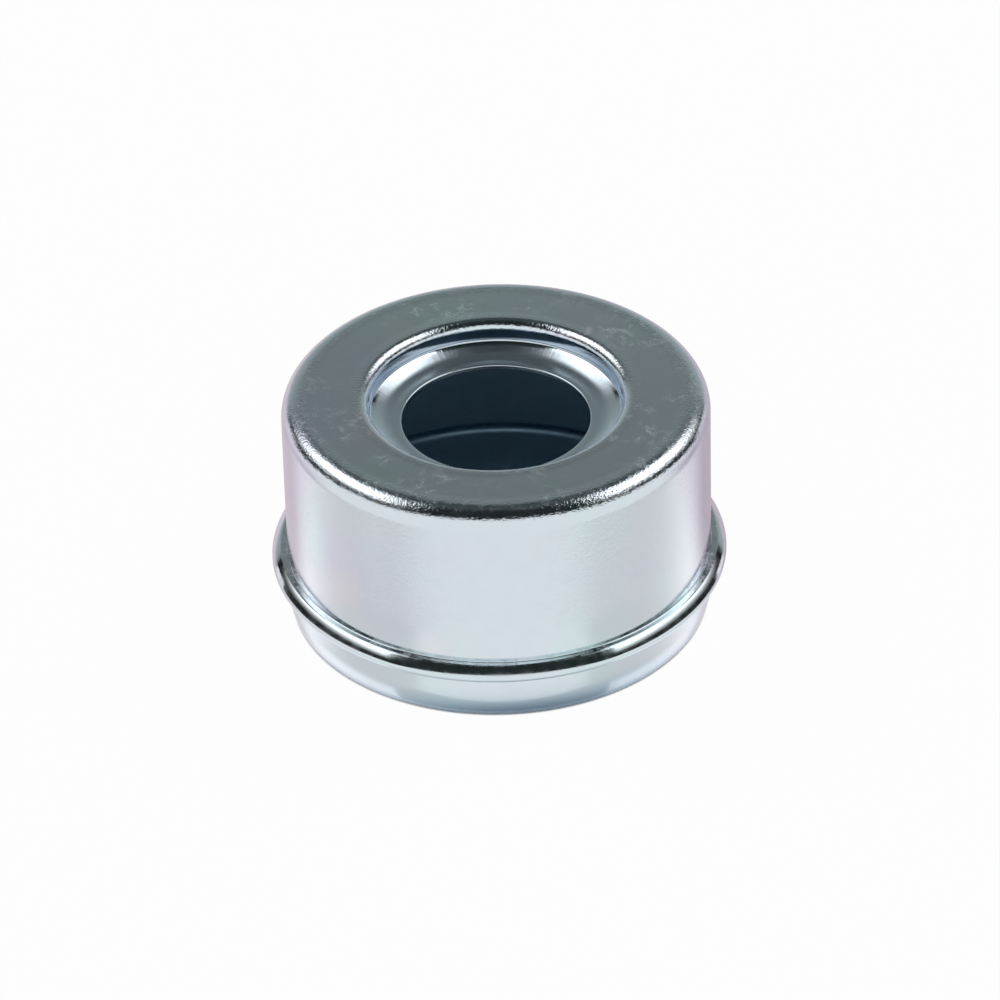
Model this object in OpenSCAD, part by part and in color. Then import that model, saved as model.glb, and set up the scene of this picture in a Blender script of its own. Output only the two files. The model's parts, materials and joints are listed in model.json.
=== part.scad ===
// Drive-in grease cap for a wheel hub, with a seat and hole for a rubber plug.
// One disc of steel sheet, pressed into a cup: every wall is the same sheet, so
// the section is a chain of bends with straight runs of sheet between them.
// The cap stands on its open toe, with the Z axis up through the plug hole.

/* [Sheet] */
// Thickness of the steel sheet
sheet_t = 0.55; // [0.5:0.05:0.8]

/* [Drive-in lip] */
// Outside diameter of the lip that is driven into the hub's bore
lip_d = 50.3; // [44:0.1:80]
// Height of the straight part that grips the bore
lip_grip = 2.75; // [1:0.05:8]
// Height of the rounded lead-in at the toe
lead_h = 3.0; // [1.5:0.1:5]
// How far the lead-in curves inwards, on the radius
lead_in = 0.65; // [0.3:0.05:1]
// Inside radius where the flange's lower layer turns down into the lip
lip_neck_r = 0.3; // [0.2:0.05:0.6]

/* [Flange] */
// Width of the flat ring on the flange's underside
flange_flat = 0.78; // [0.6:0.02:4]
// Slope of the flange's upper layer from the shoulder down to the rim, in degrees
flange_angle = 44; // [30:1:55]
// Width of the level ring on top of the flange, between neck and shoulder
shoulder_flat = 0.45; // [0.2:0.05:0.5]
// Inside radius of the sheet where it folds back at the rim, and at the shoulder
fold_in_r = 0.02; // [0.02:0.01:0.2]
// Inside radius where the wall turns out into the flange
neck_r = 0.1; // [0.1:0.05:0.2]

/* [Body] */
// Overall height from the toe to the crown
cap_h = 28.3; // [20:0.1:60]
// How far the wall stands back from the lip, on the radius
wall_inset = 0.15; // [0:0.05:0.5]
// Inside radius of the corner between crown and wall
crown_r = 1.95; // [0.4:0.05:3]

/* [Plug hole] */
// Diameter of the punched hole
hole_d = 22; // [14:0.1:26]
// Radius that the punch draws on the hole's upper edge
hole_edge_r = 0.2; // [0.1:0.05:0.4]

/* [Plug seat] */
// Width of the seat's floor, from the hole to the crease
ledge_w = 3.62; // [2.8:0.02:4.6]
// Width of the flat ring round the hole, before the floor's dish
seat_flat = 1.1; // [0.6:0.1:1.6]
// Slope of the dished floor where it meets the crease, in degrees
dish_angle = 12; // [4:1:20]
// Inside radius of the crease
crease_r = 0.4; // [0.2:0.05:0.6]
// Depth from the crown to the edge of the hole
seat_depth = 3.3; // [2.6:0.1:8]
// Lean of the seat's wall away from upright, in degrees
seat_draft_angle = 5; // [2:1:12]
// Inside radius where the crown rolls down into the seat
mouth_r = 0.75; // [0.2:0.05:0.9]

/* [Hidden] */
// Largest distance between a bend's arc and its straight steps, as a share of the sheet
arc_share = 0.012;
arc_tol = arc_share * sheet_t;
// Two points nearer than this are one
same_point = 0.000001;
// Facets round the axis when shown on screen
round_fn = 180;

// Lip and lead-in: the outside curves in by lead_in over the height lead_h
lip_r = lip_d / 2;
lead_r = (lead_in * lead_in + lead_h * lead_h) / (2 * lead_in);
lead_c = [lip_r - lead_r, lead_h];

// Flange's lower layer: the sheet folds back level under itself and turns down
fold_r = sheet_t + fold_in_r;
lip_neck_c = [lip_r + lip_neck_r, lead_h + lip_grip];
fold_c = lip_neck_c + [flange_flat, lip_neck_r + fold_r];

// Flange's upper layer: the wall turns out to a shoulder, which slopes down to the fold
wall_r = lip_r - wall_inset;
shoulder_x = wall_r + neck_r + shoulder_flat;
shoulder_c = [shoulder_x, fold_c.y + (fold_c.x - shoulder_x) * tan(flange_angle)];
neck_c = [wall_r + neck_r, shoulder_c.y + fold_r + neck_r];

// Corner between crown and wall
crown_out = crown_r + sheet_t;
crown_c = [wall_r - crown_out, cap_h - crown_out];

// Plug hole and the flat ring round it
hole_r = hole_d / 2;
hole_z = cap_h - seat_depth;
flat_r = hole_r + seat_flat;

// Dished floor: a large arc that rises from the flat ring to the crease
crease_x = hole_r + ledge_w - crease_r;
dish_r = crease_r + (crease_x - flat_r) / sin(dish_angle);
dish_c = [flat_r, hole_z + dish_r];
crease_c = dish_c + (dish_r - crease_r) * [sin(dish_angle), -cos(dish_angle)];

// The seat's leaning wall rises off the crease and sets the place of the mouth's roll
draft = seat_draft_angle;
mouth_out = mouth_r + sheet_t;
mouth_rise = cap_h - mouth_out - crease_c.y;
mouth_run = (mouth_out + crease_r + mouth_rise * sin(draft)) / cos(draft);
mouth_c = crease_c + [mouth_run, mouth_rise];

// Each bend: centre, radius of the outer face, radius of the inner face, start
// and end angle. They run along the sheet from the plug hole to the lip. The fold
// is two bends that meet at the rim, so that the flange has its full width.
BENDS = [
    [dish_c, dish_r, dish_r + sheet_t, -90, dish_angle - 90],
    [crease_c, crease_r, crease_r + sheet_t, dish_angle - 90, -draft],
    [mouth_c, mouth_out, mouth_r, 180 - draft, 90],
    [crown_c, crown_out, crown_r, 90, 0],
    [neck_c, neck_r, neck_r + sheet_t, 180, 270],
    [shoulder_c, fold_r, fold_in_r, 90, 90 - flange_angle],
    [fold_c, fold_r, fold_in_r, 90 - flange_angle, 0],
    [fold_c, fold_r, fold_in_r, 0, -90],
    [lip_neck_c, lip_neck_r, lip_neck_r + sheet_t, 90, 180],
];

// Points along an arc of radius r about c, from angle a0 to angle a1
function arc(c, r, a0, a1) =
    let (
        step = 2 * acos(max(0, 1 - arc_tol / r)),
        steps = ceil(abs(a1 - a0) / step)
    )
    [for (i = [0:steps]) let (a = a0 + (a1 - a0) * i / steps) c + r * [cos(a), sin(a)]];

// The lead-in's arc at radius r, from the straight lip down to the toe's plane
function lead_arc(r) = arc(lead_c, r, 0, -asin(lead_h / r));

function reversed(list) = [for (i = [len(list) - 1:-1:0]) list[i]];

// The list without any point that repeats the one before, as where two arcs meet
function distinct(list) =
    [for (i = [0:len(list) - 1]) if (i == 0 || norm(list[i] - list[i - 1]) > same_point) list[i]];

// The outer face runs from the hole's edge to the toe
OUTER_FACE = concat(
    arc([hole_r + hole_edge_r, hole_z - hole_edge_r], hole_edge_r, 180, 90),
    [for (b = BENDS) each arc(b[0], b[1], b[3], b[4])],
    lead_arc(lead_r)
);

// The inner face is the same chain, one sheet thickness further in
INNER_FACE = concat(
    [[hole_r, hole_z - sheet_t]],
    [for (b = BENDS) each arc(b[0], b[2], b[3], b[4])],
    lead_arc(lead_r - sheet_t)
);

module grease_cap() {
    color([0.80, 0.83, 0.86])
        rotate_extrude($fn = round_fn)
            polygon(distinct(concat(OUTER_FACE, reversed(INNER_FACE))));
}

grease_cap();
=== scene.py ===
# %% [markdown]
# # A drive-in grease cap in bright zinc plate
#
# The cap closes the outer end of a wheel hub. It is one disc of thin steel sheet:
# pressed into a cup, its middle sunk and punched for a rubber plug, its wall folded
# back under itself as a stop flange, and its toe curled in so that it starts easily
# in the hub's bore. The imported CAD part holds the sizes. This script gives
# the same sheet its softened edges and its finish, and lights it like a product on
# a white table.

# %% Load the measured part
import json
import math
import bpy
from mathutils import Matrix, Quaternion, Vector

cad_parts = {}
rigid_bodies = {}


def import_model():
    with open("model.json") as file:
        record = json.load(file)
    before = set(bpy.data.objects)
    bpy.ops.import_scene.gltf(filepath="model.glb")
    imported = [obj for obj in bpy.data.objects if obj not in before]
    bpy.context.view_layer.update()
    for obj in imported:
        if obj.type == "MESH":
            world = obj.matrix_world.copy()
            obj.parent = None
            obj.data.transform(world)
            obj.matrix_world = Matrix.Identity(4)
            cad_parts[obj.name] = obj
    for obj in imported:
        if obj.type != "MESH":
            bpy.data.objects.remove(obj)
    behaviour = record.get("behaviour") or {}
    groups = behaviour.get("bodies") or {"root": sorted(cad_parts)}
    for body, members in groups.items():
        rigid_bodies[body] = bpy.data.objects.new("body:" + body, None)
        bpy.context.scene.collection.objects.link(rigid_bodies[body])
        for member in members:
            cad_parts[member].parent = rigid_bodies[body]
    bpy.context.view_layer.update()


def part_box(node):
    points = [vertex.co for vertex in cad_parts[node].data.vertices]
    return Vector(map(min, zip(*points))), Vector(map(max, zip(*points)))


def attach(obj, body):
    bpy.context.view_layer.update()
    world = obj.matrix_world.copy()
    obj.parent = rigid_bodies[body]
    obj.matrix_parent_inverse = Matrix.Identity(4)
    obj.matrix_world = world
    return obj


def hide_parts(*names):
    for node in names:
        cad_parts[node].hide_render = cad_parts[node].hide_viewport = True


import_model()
cap_low, cap_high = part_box("grease_cap")
MM = 0.001
print("cap, mm:", [round(c / MM, 2) for c in cap_high - cap_low])

# %% [markdown]
# ## The sheet's sizes
#
# The height and the flange's width are read from the CAD part, so the two can't
# drift apart. The other sizes are the press tool's: inside radii of the bends, the
# width of each flat stretch, and the sheet's thickness. Everything is in
# millimetres here and is turned to metres where a point is placed.
#
# Only the seat's floor departs from the CAD part, by half a millimetre at most. Its
# dish is steeper, because the bright patches at its left and right are reflections
# of the soft boxes, and they need that slope.

# %% Sizes in millimetres
cap_h = cap_high.z / MM
flange_r = cap_high.x / MM
sheet_t = 0.55
lip_r = 25.15
lip_grip = 2.75
lead_h = 3.0
lead_in = 0.65
lip_neck_r = 0.3
flange_angle = 44
shoulder_flat = 0.45
fold_in_r = 0.02
neck_r = 0.1
wall_inset = 0.15
crown_r = 1.95
hole_r = 11.0
ledge_w = 3.75
seat_flat = 0.8
dish_r = 4.0
dish_angle = 27
crease_r = 0.45
seat_depth = 3.4
seat_draft = 5
mouth_r = 0.75

# %% [markdown]
# ## Where each bend turns
#
# A strip of sheet can be drawn as straight runs and bends. Each bend needs only its
# centre and the angle where it starts and ends, seen from that centre in the XZ
# plane, with 0 along +X and 90 straight up. Two bends follow each other smoothly
# when one starts at the angle where the other ended, or on its far side.
#
# The flange's slope is a bend too, a very slack one: sheet that is folded back keeps a
# crown of a few hundredths of a millimetre, and a mirror finish shows it.

# %% Centres of the bends
def turned(centre, radius, angle):
    """The point at an angle, in degrees, on a circle in the XZ plane."""
    a = math.radians(angle)
    return (centre[0] + radius * math.cos(a), centre[1] + radius * math.sin(a))


# The seat: a flat ring, the floor's dish, a straight rise to the crease, the crease itself
hole_z = cap_h - seat_depth
flat_r = hole_r + seat_flat
dish_c = (flat_r, hole_z + dish_r)
dish_end = turned(dish_c, dish_r, dish_angle - 90)
crease_in = turned((hole_r + ledge_w - crease_r, 0), crease_r, dish_angle - 90)[0]
crease_start = (crease_in, dish_end[1] + (crease_in - dish_end[0]) * math.tan(math.radians(dish_angle)))
crease_c = turned(crease_start, crease_r, dish_angle + 90)

# The seat's leaning wall sets the place of the mouth's roll
draft = math.radians(seat_draft)
mouth_z = cap_h - mouth_r - sheet_t
bend_radii = mouth_r + sheet_t + crease_r
mouth_run = (bend_radii + (mouth_z - crease_c[1]) * math.sin(draft)) / math.cos(draft)
mouth_c = (crease_c[0] + mouth_run, mouth_z)

# The crown's corner and the flange, from its fold up to the shoulder and the neck
wall_r = lip_r - wall_inset
crown_c = (wall_r - crown_r - sheet_t, cap_h - crown_r - sheet_t)
fold_r = sheet_t + fold_in_r
lip_neck_c = (lip_r + lip_neck_r, lead_h + lip_grip)
fold_c = (flange_r - fold_r, lip_neck_c[1] + lip_neck_r + fold_r)
shoulder_x = wall_r + neck_r + shoulder_flat
shoulder_c = (shoulder_x, fold_c[1] + (fold_c[0] - shoulder_x) * math.tan(math.radians(flange_angle)))
neck_c = (wall_r + neck_r, shoulder_c[1] + fold_r + neck_r)

# The slope's slack crown, in degrees either way, and the lead-in at the toe
slope_crown = 7
slope_len = math.hypot(fold_c[0] - shoulder_x, fold_c[1] - shoulder_c[1])
slope_r = fold_r + slope_len / 2 / math.sin(math.radians(slope_crown))
slope_c = turned(shoulder_c, fold_r - slope_r, 90 - flange_angle + slope_crown)
lead_r = (lead_in ** 2 + lead_h ** 2) / (2 * lead_in)
lead_c = (lip_r - lead_r, lead_h)
lead_turn = math.degrees(math.asin(lead_h / (lead_r - sheet_t)))
print("flange's underside at", round(fold_c[1] - fold_r, 2), "mm; mouth at", round(mouth_c[0], 2), "mm")

# %% [markdown]
# ## The sheet, bent edge by edge
#
# The real cap starts as flat sheet and is bent by the press. The model repeats
# that: it starts as the sheet's cut edge at the plug hole. The edge is
# pushed along by an extrude for each straight run and swung round a centre by a
# spin for each bend. Both faces of the sheet come out of the same move, so the
# wall keeps its thickness everywhere, as real sheet does. Drawing the two outlines
# by hand would be quicker, but then nothing would keep them parallel.

# %% Helpers for the moving edge
def pick(piece, kind, wanted):
    """Go to edit mode with only those points, edges or faces selected that pass a test."""
    bpy.context.view_layer.objects.active = piece
    bpy.ops.object.mode_set(mode="EDIT")
    bpy.ops.mesh.select_mode(type=kind)
    bpy.ops.mesh.select_all(action="DESELECT")
    bpy.ops.object.mode_set(mode="OBJECT")
    items = {"VERT": piece.data.vertices, "EDGE": piece.data.edges, "FACE": piece.data.polygons}[kind]
    chosen = [item for item in items if wanted(item)]
    for item in chosen:
        item.select = True
    bpy.ops.object.mode_set(mode="EDIT")
    return len(chosen)


def run_to(from_point, to_point):
    """Push the sheet's end edge straight on."""
    step = ((to_point[0] - from_point[0]) * MM, 0, (to_point[1] - from_point[1]) * MM)
    bpy.ops.mesh.extrude_region_move(TRANSFORM_OT_translate={"value": step})


def bend(centre, start, end, steps):
    """Swing the sheet's end edge round a centre."""
    bpy.ops.mesh.spin(steps=steps, angle=math.radians(end - start),
                      center=(centre[0] * MM, 0, centre[1] * MM), axis=(0, 1, 0))


# %% The cut edge of the plug hole
bpy.ops.object.select_all(action="DESELECT")
bpy.ops.mesh.primitive_plane_add(
    size=sheet_t * MM, rotation=(math.pi / 2, 0, 0),
    location=((hole_r - sheet_t / 2) * MM, 0, (hole_z - sheet_t / 2) * MM))
cap = bpy.context.object
cap.name = "pressed_cap"
bpy.ops.object.transform_apply(location=True, rotation=True, scale=True)
spare = pick(cap, "VERT", lambda v: v.co.x < (hole_r - sheet_t / 2) * MM)
bpy.ops.mesh.delete(type="VERT")
print("points left at the cut edge:", 4 - spare)

# %% Bend the strip from the hole to the toe
bpy.ops.mesh.select_mode(type="EDGE")
bpy.ops.mesh.select_all(action="SELECT")
run_to((hole_r, hole_z), (flat_r, hole_z))
bend(dish_c, -90, dish_angle - 90, 8)
run_to(dish_end, crease_start)
bend(crease_c, dish_angle - 90, -seat_draft, 8)
run_to(turned(crease_c, crease_r, -seat_draft), turned(mouth_c, mouth_r + sheet_t, 180 - seat_draft))
bend(mouth_c, 180 - seat_draft, 90, 12)
run_to(mouth_c, (crown_c[0], mouth_c[1]))
bend(crown_c, 90, 0, 16)
run_to(crown_c, (crown_c[0], neck_c[1]))
bend(neck_c, 180, 270, 8)
run_to(neck_c, (shoulder_c[0], neck_c[1]))
bend(shoulder_c, 90, 90 - flange_angle + slope_crown, 6)
bend(slope_c, 90 - flange_angle + slope_crown, 90 - flange_angle - slope_crown, 6)
bend(fold_c, 90 - flange_angle - slope_crown, 0, 6)
bend(fold_c, 0, -90, 10)
run_to(fold_c, (lip_neck_c[0], fold_c[1]))
bend(lip_neck_c, 90, 180, 8)
run_to(lip_neck_c, (lip_neck_c[0], lead_h))
bend(lead_c, 0, -lead_turn, 8)

# %% [markdown]
# ## Trim the toe and turn the strip into the cap
#
# The last bend leaves the toe square to the sheet. On the real cap it is trimmed
# level after pressing, so a bisect cuts it off at the table. Then only the strip's
# outline is kept, because its inside lines would become walls inside the metal, and
# the outline is spun once round the Z axis. The press works the same way: one
# section all the way round.

# %% Trim, keep the outline, spin
bpy.ops.mesh.select_all(action="SELECT")
bpy.ops.mesh.bisect(plane_co=(0, 0, 0), plane_no=(0, 0, 1), clear_inner=True, threshold=0.0001 * MM)
bpy.ops.mesh.select_all(action="SELECT")
bpy.ops.mesh.region_to_loop()
bpy.ops.mesh.select_all(action="INVERT")
bpy.ops.mesh.delete(type="EDGE")
bpy.ops.mesh.select_all(action="SELECT")
round_steps = 240
bpy.ops.mesh.spin(steps=round_steps, angle=math.tau, center=(0, 0, 0), axis=(0, 0, 1))
bpy.ops.mesh.select_all(action="SELECT")
bpy.ops.mesh.remove_doubles(threshold=0.002 * MM)
bpy.ops.mesh.normals_make_consistent(inside=False)
bpy.ops.object.mode_set(mode="OBJECT")
print("cap:", len(cap.data.polygons), "faces")

# %% [markdown]
# ## Which side of the sheet is the inside
#
# The plating bath reaches the inside of a deep cup badly, so the inside face is
# duller than the outside and gets its own material slot. Marking a seam at the hole's
# lower edge and at the toe's inner edge parts the skin in two, and select linked then
# takes everything on the inner side, however many faces it has.

# %% Inside face to a slot of its own
def ring(radius, height):
    """A test for edges that lie on a level circle, by its radius and height in mm."""
    def on_ring(edge):
        ends = [cap.data.vertices[i].co for i in edge.vertices]
        return all(math.hypot(abs(math.hypot(p.x, p.y) - radius * MM), p.z - height * MM) < 0.02 * MM
                   for p in ends)
    return on_ring


def on_inner_wall(face):
    """A test for faces of the wall's inner side, around the middle of its height."""
    out = math.hypot(face.center.x, face.center.y)
    return out < (wall_r - sheet_t / 2) * MM and abs(face.center.z - 15 * MM) < 5 * MM


toe_in = lead_c[0] + math.sqrt((lead_r - sheet_t) ** 2 - lead_h ** 2)
for radius, height in ((hole_r, hole_z - sheet_t), (toe_in, 0)):
    pick(cap, "EDGE", ring(radius, height))
    bpy.ops.mesh.mark_seam()
    bpy.ops.object.mode_set(mode="OBJECT")

cap.data.materials.append(None)
cap.data.materials.append(None)
pick(cap, "FACE", on_inner_wall)
bpy.ops.mesh.select_linked(delimit={"SEAM"})
cap.active_material_index = 1
bpy.ops.object.material_slot_assign()
bpy.ops.object.mode_set(mode="OBJECT")
print("inside faces:", sum(face.material_index for face in cap.data.polygons), "of", len(cap.data.polygons))

# %% [markdown]
# ## Edges that catch the light
#
# A punched hole is never square at the top: the punch draws the sheet down before
# it cuts, which leaves a rounded edge. Below it, and at the trimmed toe, the plating
# thickens a sharp corner into a very small one. These edges show as fine bright
# lines, so each gets a bevel of its real size. The bends need no bevel, because
# they are already round.

# %% Bevel the cut edges
def soften(radius, height, width, segments):
    """Bevel the ring of edges at that radius and height, in mm."""
    count = pick(cap, "EDGE", ring(radius, height))
    bpy.ops.mesh.bevel(offset=width * MM, segments=segments, profile=0.5)
    bpy.ops.object.mode_set(mode="OBJECT")
    print("edge at radius", round(radius, 2), "mm:", count, "edges,", width, "mm")


soften(hole_r, hole_z, 0.2, 4)
soften(hole_r, hole_z - sheet_t, 0.05, 2)
soften(lip_r - lead_in, 0, 0.08, 2)
soften(toe_in, 0, 0.08, 2)

# %% [markdown]
# ## Smooth shading that keeps flat stretches flat
#
# Smooth shading blends the normals of neighbouring faces. Where a long flat stretch
# meets a bend, that would tilt the light across the whole stretch, and polished
# metal shows the slightest tilt. Weighted normals let the large face win at such a
# seam, so the crown and the wall mirror the room as flat sheet does.

# %% Smooth the bends
bpy.ops.object.select_all(action="DESELECT")
cap.select_set(True)
bpy.context.view_layer.objects.active = cap
bpy.ops.object.shade_smooth_by_angle(angle=math.radians(40))
weighted = cap.modifiers.new("weighted", "WEIGHTED_NORMAL")
weighted.keep_sharp = True
bpy.ops.object.modifier_apply(modifier="weighted")
print("modifiers left:", len(cap.modifiers))

# %% [markdown]
# ## The piece's place in the frame
#
# The cap stands for the CAD solid and moves with the one body there is.

# %% Hand the piece to the frame
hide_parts("grease_cap")
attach(cap, "root")
print("triangles:", sum(len(face.vertices) - 2 for face in cap.data.polygons))

# %% [markdown]
# ## Colour and node helpers
#
# Colours are picked as sRGB hex values, as a colour picker shows them, and shaders
# work in linear light, so one function converts. One more function adds any node,
# sets its options and either sets or links each input. A noise has no size of its
# own, only a scale, so a third function works that out from a size in millimetres.

# %% Helpers for materials
def colour(hex_code):
    """An sRGB hex colour as linear RGBA."""
    parts = [int(hex_code[i:i + 2], 16) / 255 for i in (1, 3, 5)]
    return tuple(c / 12.92 if c <= 0.04045 else ((c + 0.055) / 1.055) ** 2.4 for c in parts) + (1.0,)


def add(tree, kind, inputs=None, **settings):
    """Add a node. An input is a number, a colour, an output, or a node with one live output."""
    node = tree.nodes.new(kind)
    for name, value in settings.items():
        setattr(node, name, value)
    for name, value in (inputs or {}).items():
        if isinstance(value, bpy.types.Node):
            value = next(output for output in value.outputs if output.enabled)
        if isinstance(value, bpy.types.NodeSocket):
            tree.links.new(value, node.inputs[name])
        else:
            node.inputs[name].default_value = value
    return node


def per_metre(size_mm):
    """Noise scale for blotches of that size on Object coordinates."""
    return 1 / (size_mm * MM)


def material(name):
    made = bpy.data.materials.new(name)
    made.use_nodes = True
    made.node_tree.nodes.clear()
    return made


# Settings that turn Map Range into a smooth step from its lower to its upper value
SMOOTH = {"interpolation_type": "SMOOTHSTEP"}

# %% [markdown]
# ## Bright zinc with a clear passivate
#
# The sheet is cold rolled steel, pressed first and then plated with bright zinc. A
# clear passivate on top is thin enough to tint the reflections in slow patches:
# bluish, lilac and faint green. At a low angle the metal's own edge tint, a setting
# of the shader, is a near white with a touch of rose. Where the press stretched the
# sheet, its grain opened to a fine orange peel that breaks a highlight's edge into
# sparks.
#
# All of that depends on where the sheet is: on a bend, on the level crown or down in
# the seat. Painting these places by hand would fix them to one mesh. Here masks are
# worked out from the surface's direction and from its distance to the axis, so they
# follow the sizes at the top of the script.

# %% Where the sheet is bent or level
zinc = material("bright_zinc_clear_passivate")
tree = zinc.node_tree
place = add(tree, "ShaderNodeTexCoord")
at = place.outputs["Object"]

# Bend mask: 0 on level and upright sheet, 1 where it leans at 20 degrees or more
facing = add(tree, "ShaderNodeSeparateXYZ", {"Vector": place.outputs["Normal"]}).outputs["Z"]
level = add(tree, "ShaderNodeMath", {0: facing, 1: facing}, operation="MULTIPLY")
upright = add(tree, "ShaderNodeMath", {0: 1.0, 1: level}, operation="SUBTRACT")
leaning = add(tree, "ShaderNodeMath", {0: level, 1: upright}, operation="MULTIPLY")
bent = add(tree, "ShaderNodeMapRange", {"Value": leaning, "From Max": 0.11}, **SMOOTH)

# Crown mask: 1 on the level sheet, fading over the top of the bends
level_top = add(tree, "ShaderNodeMapRange", {"Value": facing, "From Min": 0.80, "From Max": 0.99}, **SMOOTH)

# %% Where the sheet lies, by distance from the axis and by height
mouth_at = mouth_c[0] * MM
corner_at = crown_c[0] * MM
spots = add(tree, "ShaderNodeSeparateXYZ", {"Vector": at})
height = spots.outputs["Z"]
flat_place = add(tree, "ShaderNodeCombineXYZ", {"X": spots.outputs["X"], "Y": spots.outputs["Y"]})
from_axis = add(tree, "ShaderNodeVectorMath", {0: flat_place}, operation="LENGTH")

# The seat: below the crown's plane and inside its mouth
below = add(tree, "ShaderNodeMapRange", {"Value": height, "From Min": (cap_h - 0.5) * MM,
                                         "From Max": (cap_h - 1.2) * MM}, **SMOOTH)
within = add(tree, "ShaderNodeMapRange", {"Value": from_axis, "From Min": mouth_at + 0.3 * MM,
                                          "From Max": mouth_at}, **SMOOTH)
sunk = add(tree, "ShaderNodeMath", {0: below, 1: within}, operation="MULTIPLY")

# The seat's floor, which ends just short of the crease
crease_at = (hole_r + ledge_w) * MM
on_ledge = add(tree, "ShaderNodeMapRange", {"Value": from_axis, "From Min": crease_at - 0.25 * MM,
                                            "From Max": crease_at - 0.7 * MM}, **SMOOTH)
seat_floor = add(tree, "ShaderNodeMath", {0: sunk, 1: on_ledge}, operation="MULTIPLY")

# The level sheet next to the crown's two bends, which the press stretched too
near_mouth = add(tree, "ShaderNodeMapRange", {"Value": from_axis, "From Min": mouth_at + 1.5 * MM,
                                              "From Max": mouth_at}, **SMOOTH)
near_corner = add(tree, "ShaderNodeMapRange", {"Value": from_axis, "From Min": corner_at - 1.6 * MM,
                                               "From Max": corner_at}, **SMOOTH)
near_bend = add(tree, "ShaderNodeMath", {0: near_mouth, 1: near_corner}, operation="MAXIMUM")

# %% Tint of the passivate
# Size in mm and seed of each cloud, where its noise starts and is full, its most, its colour
clouds = (
    (15, 1.0, 0.45, 0.70, 1.0, "#DDE2F0"),  # lilac
    (12, 2.0, 0.50, 0.72, 1.0, "#D9EAEC"),  # faint green
    (13, 3.0, 0.56, 0.76, 0.7, "#E8E4E8"),  # faint rose
)
tint = colour("#DEE7EE")
for size_mm, seed, start, full, most, hex_code in clouds:
    cloud = add(tree, "ShaderNodeTexNoise", {"Vector": at, "W": seed, "Scale": per_metre(size_mm)},
                noise_dimensions="4D")
    amount = add(tree, "ShaderNodeMapRange", {"Value": cloud, "From Min": start, "From Max": full,
                                              "To Max": most}, **SMOOTH)
    tint = add(tree, "ShaderNodeMix", {0: amount, 6: tint, 7: colour(hex_code)}, data_type="RGBA")
tint = add(tree, "ShaderNodeMix", {0: sunk, 6: tint, 7: colour("#D8E6F0")}, data_type="RGBA")
print("tints over the base colour:", len(clouds) + 1)

# %% [markdown]
# ## Marks of handling
#
# Caps are tumbled in a drum to be plated and then lie loose in a carton, so the crown
# of each carries dull smears and small scratches. Rubbed zinc grows a trace of white
# oxide: the film scatters light from all sides of the room, which on a dark
# reflection looks like a pale cloud. So a mark makes the metal rougher and also a
# little less metallic. Two noises are multiplied, a slow one for where caps rubbed
# and a twisted one for the marks themselves. A third, fine one is dust, thickest near
# the corner.

# %% Smears, scratches and dust on the crown
crown_only = add(tree, "ShaderNodeMapRange", {"Value": from_axis, "From Min": mouth_at - 0.6 * MM,
                                              "From Max": mouth_at}, **SMOOTH)
on_crown = add(tree, "ShaderNodeMath", {0: level_top, 1: crown_only}, operation="MULTIPLY")

rubbing = add(tree, "ShaderNodeTexNoise", {"Vector": at, "W": 4.3, "Scale": per_metre(7), "Detail": 3.0},
              noise_dimensions="4D")
rubbed = add(tree, "ShaderNodeMapRange", {"Value": rubbing, "From Min": 0.40, "From Max": 0.60}, **SMOOTH)
scuffs = add(tree, "ShaderNodeTexNoise", {"Vector": at, "W": 5.0, "Scale": per_metre(2), "Detail": 6.0,
                                          "Distortion": 1.5}, noise_dimensions="4D")
marks = add(tree, "ShaderNodeMapRange", {"Value": scuffs, "From Min": 0.44, "From Max": 0.80, "To Max": 0.9},
            **SMOOTH)

dust = add(tree, "ShaderNodeTexNoise", {"Vector": at, "W": 9.0, "Scale": per_metre(0.5), "Detail": 4.0},
           noise_dimensions="4D")
grains = add(tree, "ShaderNodeMapRange", {"Value": dust, "From Min": 0.38, "From Max": 0.80}, **SMOOTH)
dusting = add(tree, "ShaderNodeMapRange", {"Value": near_corner, "To Min": 0.22, "To Max": 0.5}, **SMOOTH)
specks = add(tree, "ShaderNodeMath", {0: grains, 1: dusting}, operation="MULTIPLY")

all_marks = add(tree, "ShaderNodeMath", {0: rubbed, 1: marks, 2: specks}, operation="MULTIPLY_ADD", use_clamp=True)
film = add(tree, "ShaderNodeMath", {0: all_marks, 1: on_crown}, operation="MULTIPLY")

# %% How rough and how metallic the zinc is
# Bright zinc has a roughness near 0.1. A faint haze lies on the crown and the wall, the
# punch leaves the seat's floor satin, and a mark adds the most.
haze_cloud = add(tree, "ShaderNodeTexNoise", {"Vector": at, "W": 6.0, "Scale": per_metre(1.5), "Detail": 4.0},
                 noise_dimensions="4D")
haziest = add(tree, "ShaderNodeMapRange", {"Value": sunk, "To Min": 0.17, "To Max": 0.09}, **SMOOTH)
haze = add(tree, "ShaderNodeMapRange", {"Value": haze_cloud, "From Min": 0.3, "From Max": 0.7,
                                        "To Min": 0.08, "To Max": haziest}, **SMOOTH)
satin = add(tree, "ShaderNodeMath", {0: seat_floor, 1: 0.16, 2: haze}, operation="MULTIPLY_ADD")
rough = add(tree, "ShaderNodeMath", {0: film, 1: 0.32, 2: satin}, operation="MULTIPLY_ADD")
metal = add(tree, "ShaderNodeMapRange", {"Value": film, "To Min": 1.0, "To Max": 0.62}, **SMOOTH)

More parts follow.
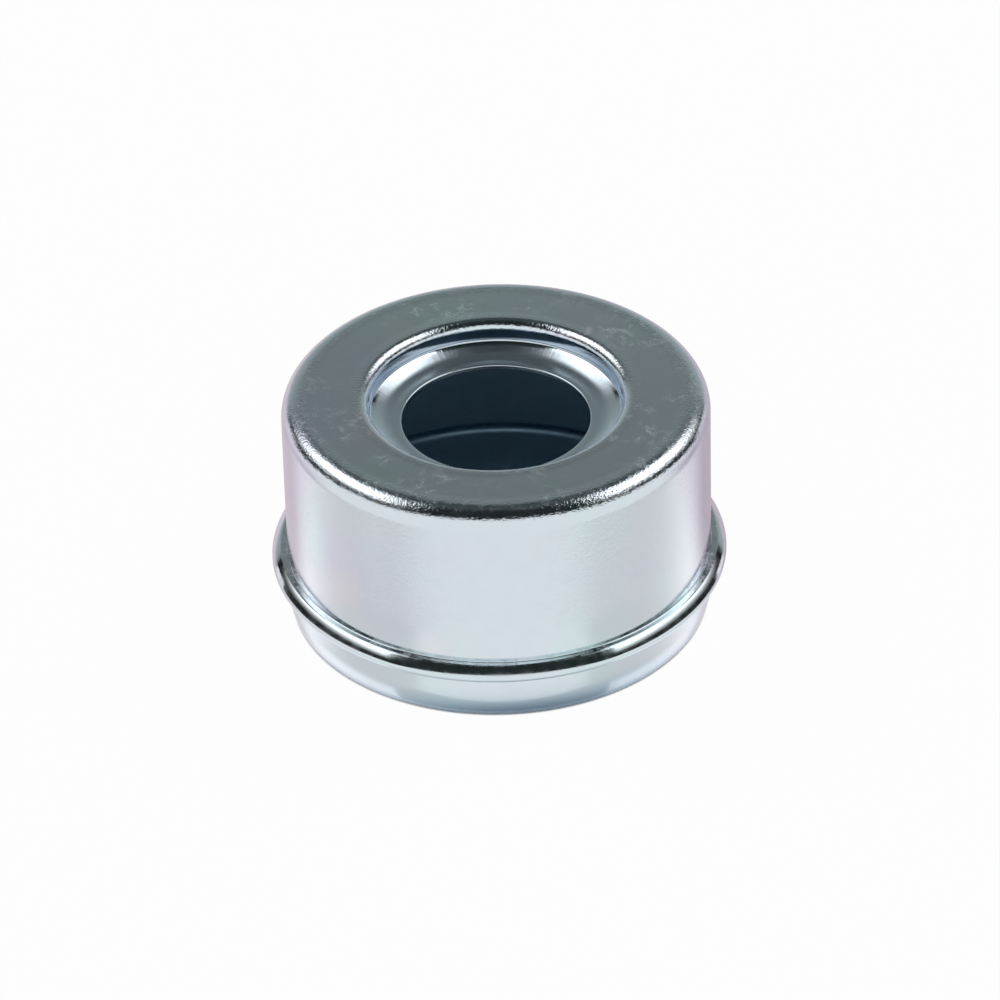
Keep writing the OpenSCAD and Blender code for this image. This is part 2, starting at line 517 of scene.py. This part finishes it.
# %% [markdown]
# ## Orange peel and lines of the punch
#
# Stretched sheet shows its grain. It is deep on the crown's two bends, ironed out in
# the seat and on the flange, where the tools squeezed the sheet, and nearly gone on
# flat sheet. The real grain is about 0.1 mm wide, too fine to show in the render, so
# it is drawn at 0.27 mm. The punch also drags fine lines down the seat. Real ones
# lie some hundredths of a millimetre apart and are drawn 0.3 mm apart, for the same
# reason. Both are bumps and not geometry, because they stand only a few microns high.

# %% Orange peel
peel_size = 0.27
peel_height = 0.042
beside_bend = add(tree, "ShaderNodeMath", {0: near_bend, 1: 0.8}, operation="MULTIPLY")
stretched = add(tree, "ShaderNodeMath", {0: beside_bend, 1: bent}, operation="MAXIMUM")
drawn_deep = add(tree, "ShaderNodeMapRange", {"Value": height, "From Min": 9 * MM, "From Max": 14 * MM,
                                              "To Min": 0.12}, **SMOOTH)
seat_part = add(tree, "ShaderNodeMath", {0: sunk, 1: drawn_deep}, operation="MULTIPLY")
not_ironed = add(tree, "ShaderNodeMath", {0: 1.0, 1: seat_part}, operation="SUBTRACT")
opened = add(tree, "ShaderNodeMath", {0: stretched, 1: drawn_deep}, operation="MULTIPLY")
opened = add(tree, "ShaderNodeMath", {0: opened, 1: not_ironed}, operation="MULTIPLY")
depth = add(tree, "ShaderNodeMapRange", {"Value": opened, "To Min": 0.004}, **SMOOTH)

peel = add(tree, "ShaderNodeTexNoise", {"Vector": at, "W": 7.0, "Scale": per_metre(peel_size)},
           noise_dimensions="4D")
relief = add(tree, "ShaderNodeMath", {0: peel, 1: depth}, operation="MULTIPLY")
grain = add(tree, "ShaderNodeBump", {"Height": relief, "Strength": 1.0, "Distance": peel_height * MM})
print("orange peel:", peel_size, "mm wide,", peel_height, "mm high at most")

# %% Lines of the punch
# The pattern is read on a ring of 13 mm radius, at the middle of the seat's floor. A place
# and the one beside it towards the axis read the same value, so the lines run down the seat.
ring_radius = 13
line_gap = 0.30
round_axis = add(tree, "ShaderNodeVectorMath", {0: flat_place}, operation="NORMALIZE")
on_ring = add(tree, "ShaderNodeVectorMath", {0: round_axis, "Scale": ring_radius * MM}, operation="SCALE")
drag = add(tree, "ShaderNodeTexNoise", {"Vector": on_ring, "W": 8.0, "Scale": per_metre(line_gap)},
           noise_dimensions="4D")
dragged = add(tree, "ShaderNodeMath", {0: drag, 1: sunk}, operation="MULTIPLY")
lines = add(tree, "ShaderNodeBump", {"Height": dragged, "Strength": 1.0, "Distance": 0.009 * MM, "Normal": grain})

# %% Zinc on the outside
surface = add(tree, "ShaderNodeBsdfPrincipled", {
    "Base Color": tint, "Roughness": rough, "Metallic": metal, "Specular Tint": colour("#FFFAFC"),
    "Normal": lines})
add(tree, "ShaderNodeOutputMaterial", {"Surface": surface})
cap.data.materials[0] = zinc
print("nodes in the outside zinc:", len(tree.nodes))

# %% [markdown]
# ## The dull inside
#
# Zinc is plated by electric current, and little current reaches the inside of a cup.
# The zinc there is thin, matt and blue-grey, so a reflection in it is a soft glow. Its
# base colour is also much darker than the outside's: partly the thin zinc, partly
# painted shade for the dim inside of the cup.

# %% Zinc on the inside
dull = material("thin_zinc_inside_painted_shade")
tree = dull.node_tree
at = add(tree, "ShaderNodeTexCoord").outputs["Object"]
patches = add(tree, "ShaderNodeTexNoise", {"Vector": at, "W": 0.0, "Scale": per_metre(6), "Detail": 3.0},
              noise_dimensions="4D")
# Partly painted shade: a darker blue-grey base colour than the outside's zinc.
shade = add(tree, "ShaderNodeMix", {0: patches, 6: colour("#98BCD2"), 7: colour("#A6C6DA")}, data_type="RGBA")
mist = add(tree, "ShaderNodeTexNoise", {"Vector": at, "W": 1.0, "Scale": per_metre(2), "Detail": 4.0},
           noise_dimensions="4D")
matt_rough = add(tree, "ShaderNodeMapRange", {"Value": mist, "From Min": 0.3, "From Max": 0.7,
                                              "To Min": 0.42, "To Max": 0.52}, **SMOOTH)
surface = add(tree, "ShaderNodeBsdfPrincipled", {"Base Color": shade, "Roughness": matt_rough, "Metallic": 1.0})
add(tree, "ShaderNodeOutputMaterial", {"Surface": surface})
cap.data.materials[1] = dull
print("nodes in the inside zinc:", len(tree.nodes))

# %% [markdown]
# ## A white table
#
# The cap stands on a white table. The picture's ground should be plain white, and so
# should the ground that the polished wall mirrors. So camera, glossy and transmission
# rays see a paint that glows at strength 1, which is white. All other rays see
# ordinary matt paint. The camera sees a small share of it too, which keeps the cap's
# shadow. Inside the toe there is matt paint only, so it is dark in there when one
# looks down through the hole.
#
# A table round a cap isn't evenly lit. Next to the toe it lies in the cap's own
# shade, and behind the cap it is a little darker and rosy. The wall and the lip mirror
# that: it gives the lip its dark lower edge and the wall its rosy sides. These tones
# are painted on the table, in millimetres from the cap's axis, and only a reflection
# sees them. None is brighter than white. The table is slightly polished as well, so it
# mirrors the soft boxes, which gives the wall its bright bands.

# %% A card, which serves for the table, the backdrop, the ceiling and the soft boxes
def flat_card(name, width, depth, place_at, turned_by, paint):
    bpy.ops.object.select_all(action="DESELECT")
    bpy.ops.mesh.primitive_plane_add(size=1, location=place_at, rotation=turned_by)
    card = bpy.context.object
    card.name = name
    card.scale = (width, depth, 1)
    card.data.materials.append(paint)
    return card


# %% Places on the table
# The table is a plane of size 1 that is scaled up, so one millimetre is less in its own
# coordinates. Each mask goes from 0 to 1 between its two distances.
table_size = 4.0
table_mm = MM / table_size
table_paint = material("white_table")
tree = table_paint.node_tree
where = add(tree, "ShaderNodeTexCoord").outputs["Object"]
flat_at = add(tree, "ShaderNodeSeparateXYZ", {"Vector": where})
from_middle = add(tree, "ShaderNodeVectorMath", {0: where}, operation="LENGTH")
# The cap's shade is a disc whose centre lies 1 mm to the right and 8 mm in front
to_shade = add(tree, "ShaderNodeVectorMath", {0: where, 1: (-1 * table_mm, 8 * table_mm, 0)}, operation="ADD")
from_shade = add(tree, "ShaderNodeVectorMath", {0: to_shade}, operation="LENGTH")

masks = {}
for name, value, start, full in (
        ("outside", from_middle, 24.4, 24.8),
        ("half lit", from_shade, 15.5, 20),
        ("lit", from_shade, 17, 24),
        ("away", from_middle, 28, 34),
        ("aside", flat_at.outputs["Y"], -31, -18),
        ("behind", flat_at.outputs["Y"], -3, 12),
        ("to the right", flat_at.outputs["X"], -20, 20)):
    masks[name] = add(tree, "ShaderNodeMapRange", {"Value": value, "From Min": start * table_mm,
                                                   "From Max": full * table_mm}, **SMOOTH)
print("masks on the table:", ", ".join(masks))

# %% Tones that a reflection sees on the table
# Painted shade: next to the toe the table darkens to a blue-grey, the cap's own shade, which the lip mirrors as
# its dark lower edge.
painted_foot_shade = add(tree, "ShaderNodeMix", {0: masks["half lit"], 6: colour("#68788A"), 7: colour("#BCCCD6")},
                data_type="RGBA")
in_front = add(tree, "ShaderNodeMix", {0: masks["lit"], 6: painted_foot_shade, 7: colour("#F5F5F5")}, data_type="RGBA")
# Painted light: beside the cap, away from its toe, the table is a touch warmer than in front.
at_sides = add(tree, "ShaderNodeMath", {0: masks["aside"], 1: masks["away"]}, operation="MULTIPLY")
in_light = add(tree, "ShaderNodeMix", {0: at_sides, 6: in_front, 7: colour("#F8F4F4")}, data_type="RGBA")
# Painted shade behind the cap: a darker rose, darkest to the right, which the wall mirrors at its sides.
rosy = add(tree, "ShaderNodeMix", {0: masks["to the right"], 6: colour("#ECE0E6"), 7: colour("#D6C8D4")},
           data_type="RGBA")
in_mirror = add(tree, "ShaderNodeMix", {0: masks["behind"], 6: in_light, 7: rosy}, data_type="RGBA")

# %% Table paint
rays = add(tree, "ShaderNodeLightPath")
by_camera = rays.outputs["Is Camera Ray"]
by_gloss = rays.outputs["Is Glossy Ray"]
bounced = add(tree, "ShaderNodeMath", {0: by_gloss, 1: rays.outputs["Is Transmission Ray"]}, operation="MAXIMUM")
mirrored = add(tree, "ShaderNodeMath", {0: bounced, 1: masks["outside"]}, operation="MULTIPLY")
clean_ground = add(tree, "ShaderNodeMath", {0: by_camera, 1: 0.975}, operation="MULTIPLY")
seen = add(tree, "ShaderNodeMath", {0: clean_ground, 1: masks["outside"]}, operation="MULTIPLY")
share = add(tree, "ShaderNodeMath", {0: seen, 1: mirrored}, operation="ADD")

tone = add(tree, "ShaderNodeMix", {0: by_camera, 6: in_mirror, 7: colour("#FFFFFF")}, data_type="RGBA")
white = add(tree, "ShaderNodeEmission", {"Color": tone, "Strength": 1.0})
sheen = add(tree, "ShaderNodeBsdfGlossy", {"Color": colour("#FFFFFF"), "Roughness": 0.08})
sheen_share = add(tree, "ShaderNodeMath", {0: by_gloss, 1: 0.22}, operation="MULTIPLY")
polished = add(tree, "ShaderNodeMixShader", {0: sheen_share, 1: white, 2: sheen})
matt = add(tree, "ShaderNodeBsdfDiffuse", {"Color": colour("#F4F4F4")})
mixed = add(tree, "ShaderNodeMixShader", {0: share, 1: matt, 2: polished})
add(tree, "ShaderNodeOutputMaterial", {"Surface": mixed})
table = flat_card("table", table_size, table_size, (0, 0, 0), (0, 0, 0), table_paint)
print("table:", table_size, "m wide")

# %% [markdown]
# ## A plain soft room
#
# Polished metal is mostly a picture of its room. A product photographer puts such a
# cap between two large soft boxes, with a dark ceiling and a grey backdrop. Here
# each soft box is a glowing card, rolled in its own plane, with a black flag along
# its lower edge: the flag draws the thin dark line under the bright corner of the
# cap. The boxes fade towards three of their edges, as cloth in front of a lamp does.
# The backdrop is lighter near the table and the ceiling is nearly black, so the
# crown stays grey and the bends draw bright lines.

# %% Paints of the room
def graded_paint(name, hex_code, start, end, at_start, at_end):
    """A glow that changes smoothly along a card's depth, from -0.5 to 0.5."""
    paint = material(name)
    tree = paint.node_tree
    on_card = add(tree, "ShaderNodeTexCoord").outputs["Object"]
    across = add(tree, "ShaderNodeSeparateXYZ", {"Vector": on_card}).outputs["Y"]
    strength = add(tree, "ShaderNodeMapRange", {"Value": across, "From Min": start, "From Max": end,
                                                "To Min": at_start, "To Max": at_end}, **SMOOTH)
    light = add(tree, "ShaderNodeEmission", {"Color": colour(hex_code), "Strength": strength})
    add(tree, "ShaderNodeOutputMaterial", {"Surface": light})
    return paint


backdrop_paint = graded_paint("grey_backdrop", "#ECFAF9", -0.5, 0.5, 0.45, 0.08)
ceiling_paint = graded_paint("dark_ceiling", "#DCF4F6", 0.03, 0.2, 0.025, 0.07)

# A soft box's cloth, dark at its rear end, its top and its bottom
soft_cloth = material("soft_box_cloth")
tree = soft_cloth.node_tree
on_card = add(tree, "ShaderNodeTexCoord").outputs["Object"]
on_cloth = add(tree, "ShaderNodeSeparateXYZ", {"Vector": on_card})
cloth_light = 1.8
for axis, dark, full in (("X", -0.43, -0.10), ("Y", 0.47, 0.20), ("Y", -0.52, -0.29)):
    fade = add(tree, "ShaderNodeMapRange", {"Value": on_cloth.outputs[axis], "From Min": dark,
                                            "From Max": full}, **SMOOTH)
    cloth_light = add(tree, "ShaderNodeMath", {0: fade, 1: cloth_light}, operation="MULTIPLY")
light = add(tree, "ShaderNodeEmission", {"Color": colour("#FFFFFF"), "Strength": cloth_light})
add(tree, "ShaderNodeOutputMaterial", {"Surface": light})

flag_cloth = material("black_flag")
light = add(flag_cloth.node_tree, "ShaderNodeEmission", {"Color": colour("#FFFFFF"), "Strength": 0.02})
add(flag_cloth.node_tree, "ShaderNodeOutputMaterial", {"Surface": light})

# %% Soft boxes and flags
# A box stands upright beside the cap and is rolled 28 degrees in its plane. Its corner is
# the low rear one, and cards are placed from it by distances forward and upward.
roll = math.radians(28)
card_turn = (math.pi / 2, -roll, -math.pi / 2)
forward = Vector((0, -math.cos(roll), math.sin(roll)))
upward = Vector((0, math.sin(roll), math.cos(roll)))
left_lift = 0.02

for side, name, lift in ((-1, "left", left_lift), (1, "right", 0.0)):
    corner = Vector((0.5 * side, 0.25, 0.15)) + upward * lift
    soft_box = flat_card("soft_box_" + name, 0.90, 1.18, corner + forward * 0.17 + upward * 0.61,
                         card_turn, soft_cloth)
    flag = flat_card("flag_" + name, 0.80, 0.13, corner + forward * 0.30 - upward * 0.035,
                     card_turn, flag_cloth)
    soft_box.visible_camera = False
    flag.visible_camera = False
    print(name, "soft box centre, m:", [round(c, 2) for c in soft_box.location])

# %% Backdrop, ceiling and the rest of the room
backdrop = flat_card("backdrop", 2.6, 1.6, (0, 1.3, 0.8), (math.pi / 2, 0, 0), backdrop_paint)
ceiling = flat_card("ceiling", 4.6, 2.8, (0, -0.1, 1.6), (0, 0, 0), ceiling_paint)
backdrop.visible_camera = False
ceiling.visible_camera = False

world = bpy.data.worlds.new("room")
bpy.context.scene.world = world
world.use_nodes = True
tree = world.node_tree
tree.nodes.clear()
rays = add(tree, "ShaderNodeLightPath")
strength = add(tree, "ShaderNodeMapRange", {"Value": rays.outputs["Is Camera Ray"], "To Min": 0.9, "To Max": 1.0})
room = add(tree, "ShaderNodeBackground", {"Color": colour("#FFFFFF"), "Strength": strength})
add(tree, "ShaderNodeOutputWorld", {"Surface": room})
print("cards on the stage:", 7)

# %% [markdown]
# ## The camera
#
# The camera stands 0.8 m away and about 35 degrees up, and is rolled a degree and a
# half, as in the photograph. Its lens is long, so the cap shows little perspective.
# It aims a little beside the cap's middle, because the photograph does.

# %% Camera
camera_far = 0.800
camera_up = math.radians(34.8)
camera_roll = math.radians(1.5)
pixel_lens = 6815
aim_right = 0.218 * MM
aim_down = 0.681 * MM
middle = Vector((0, 0, 0.014))
back = Vector((0, -math.cos(camera_up), math.sin(camera_up)))
right = Vector((1, 0, 0))
up = back.cross(right)
aim = middle + right * aim_right - up * aim_down

bpy.ops.object.camera_add(location=middle + back * camera_far)
camera = bpy.context.object
gaze = (aim - camera.location).to_track_quat("-Z", "Y")
camera.rotation_mode = "QUATERNION"
camera.rotation_quaternion = gaze @ Quaternion((0, 0, 1), -camera_roll)
camera.data.sensor_width = 36
camera.data.lens = pixel_lens / 1000 * camera.data.sensor_width
bpy.context.scene.camera = camera
bpy.context.scene.view_settings.view_transform = "Standard"
print("lens, mm:", round(camera.data.lens, 1))
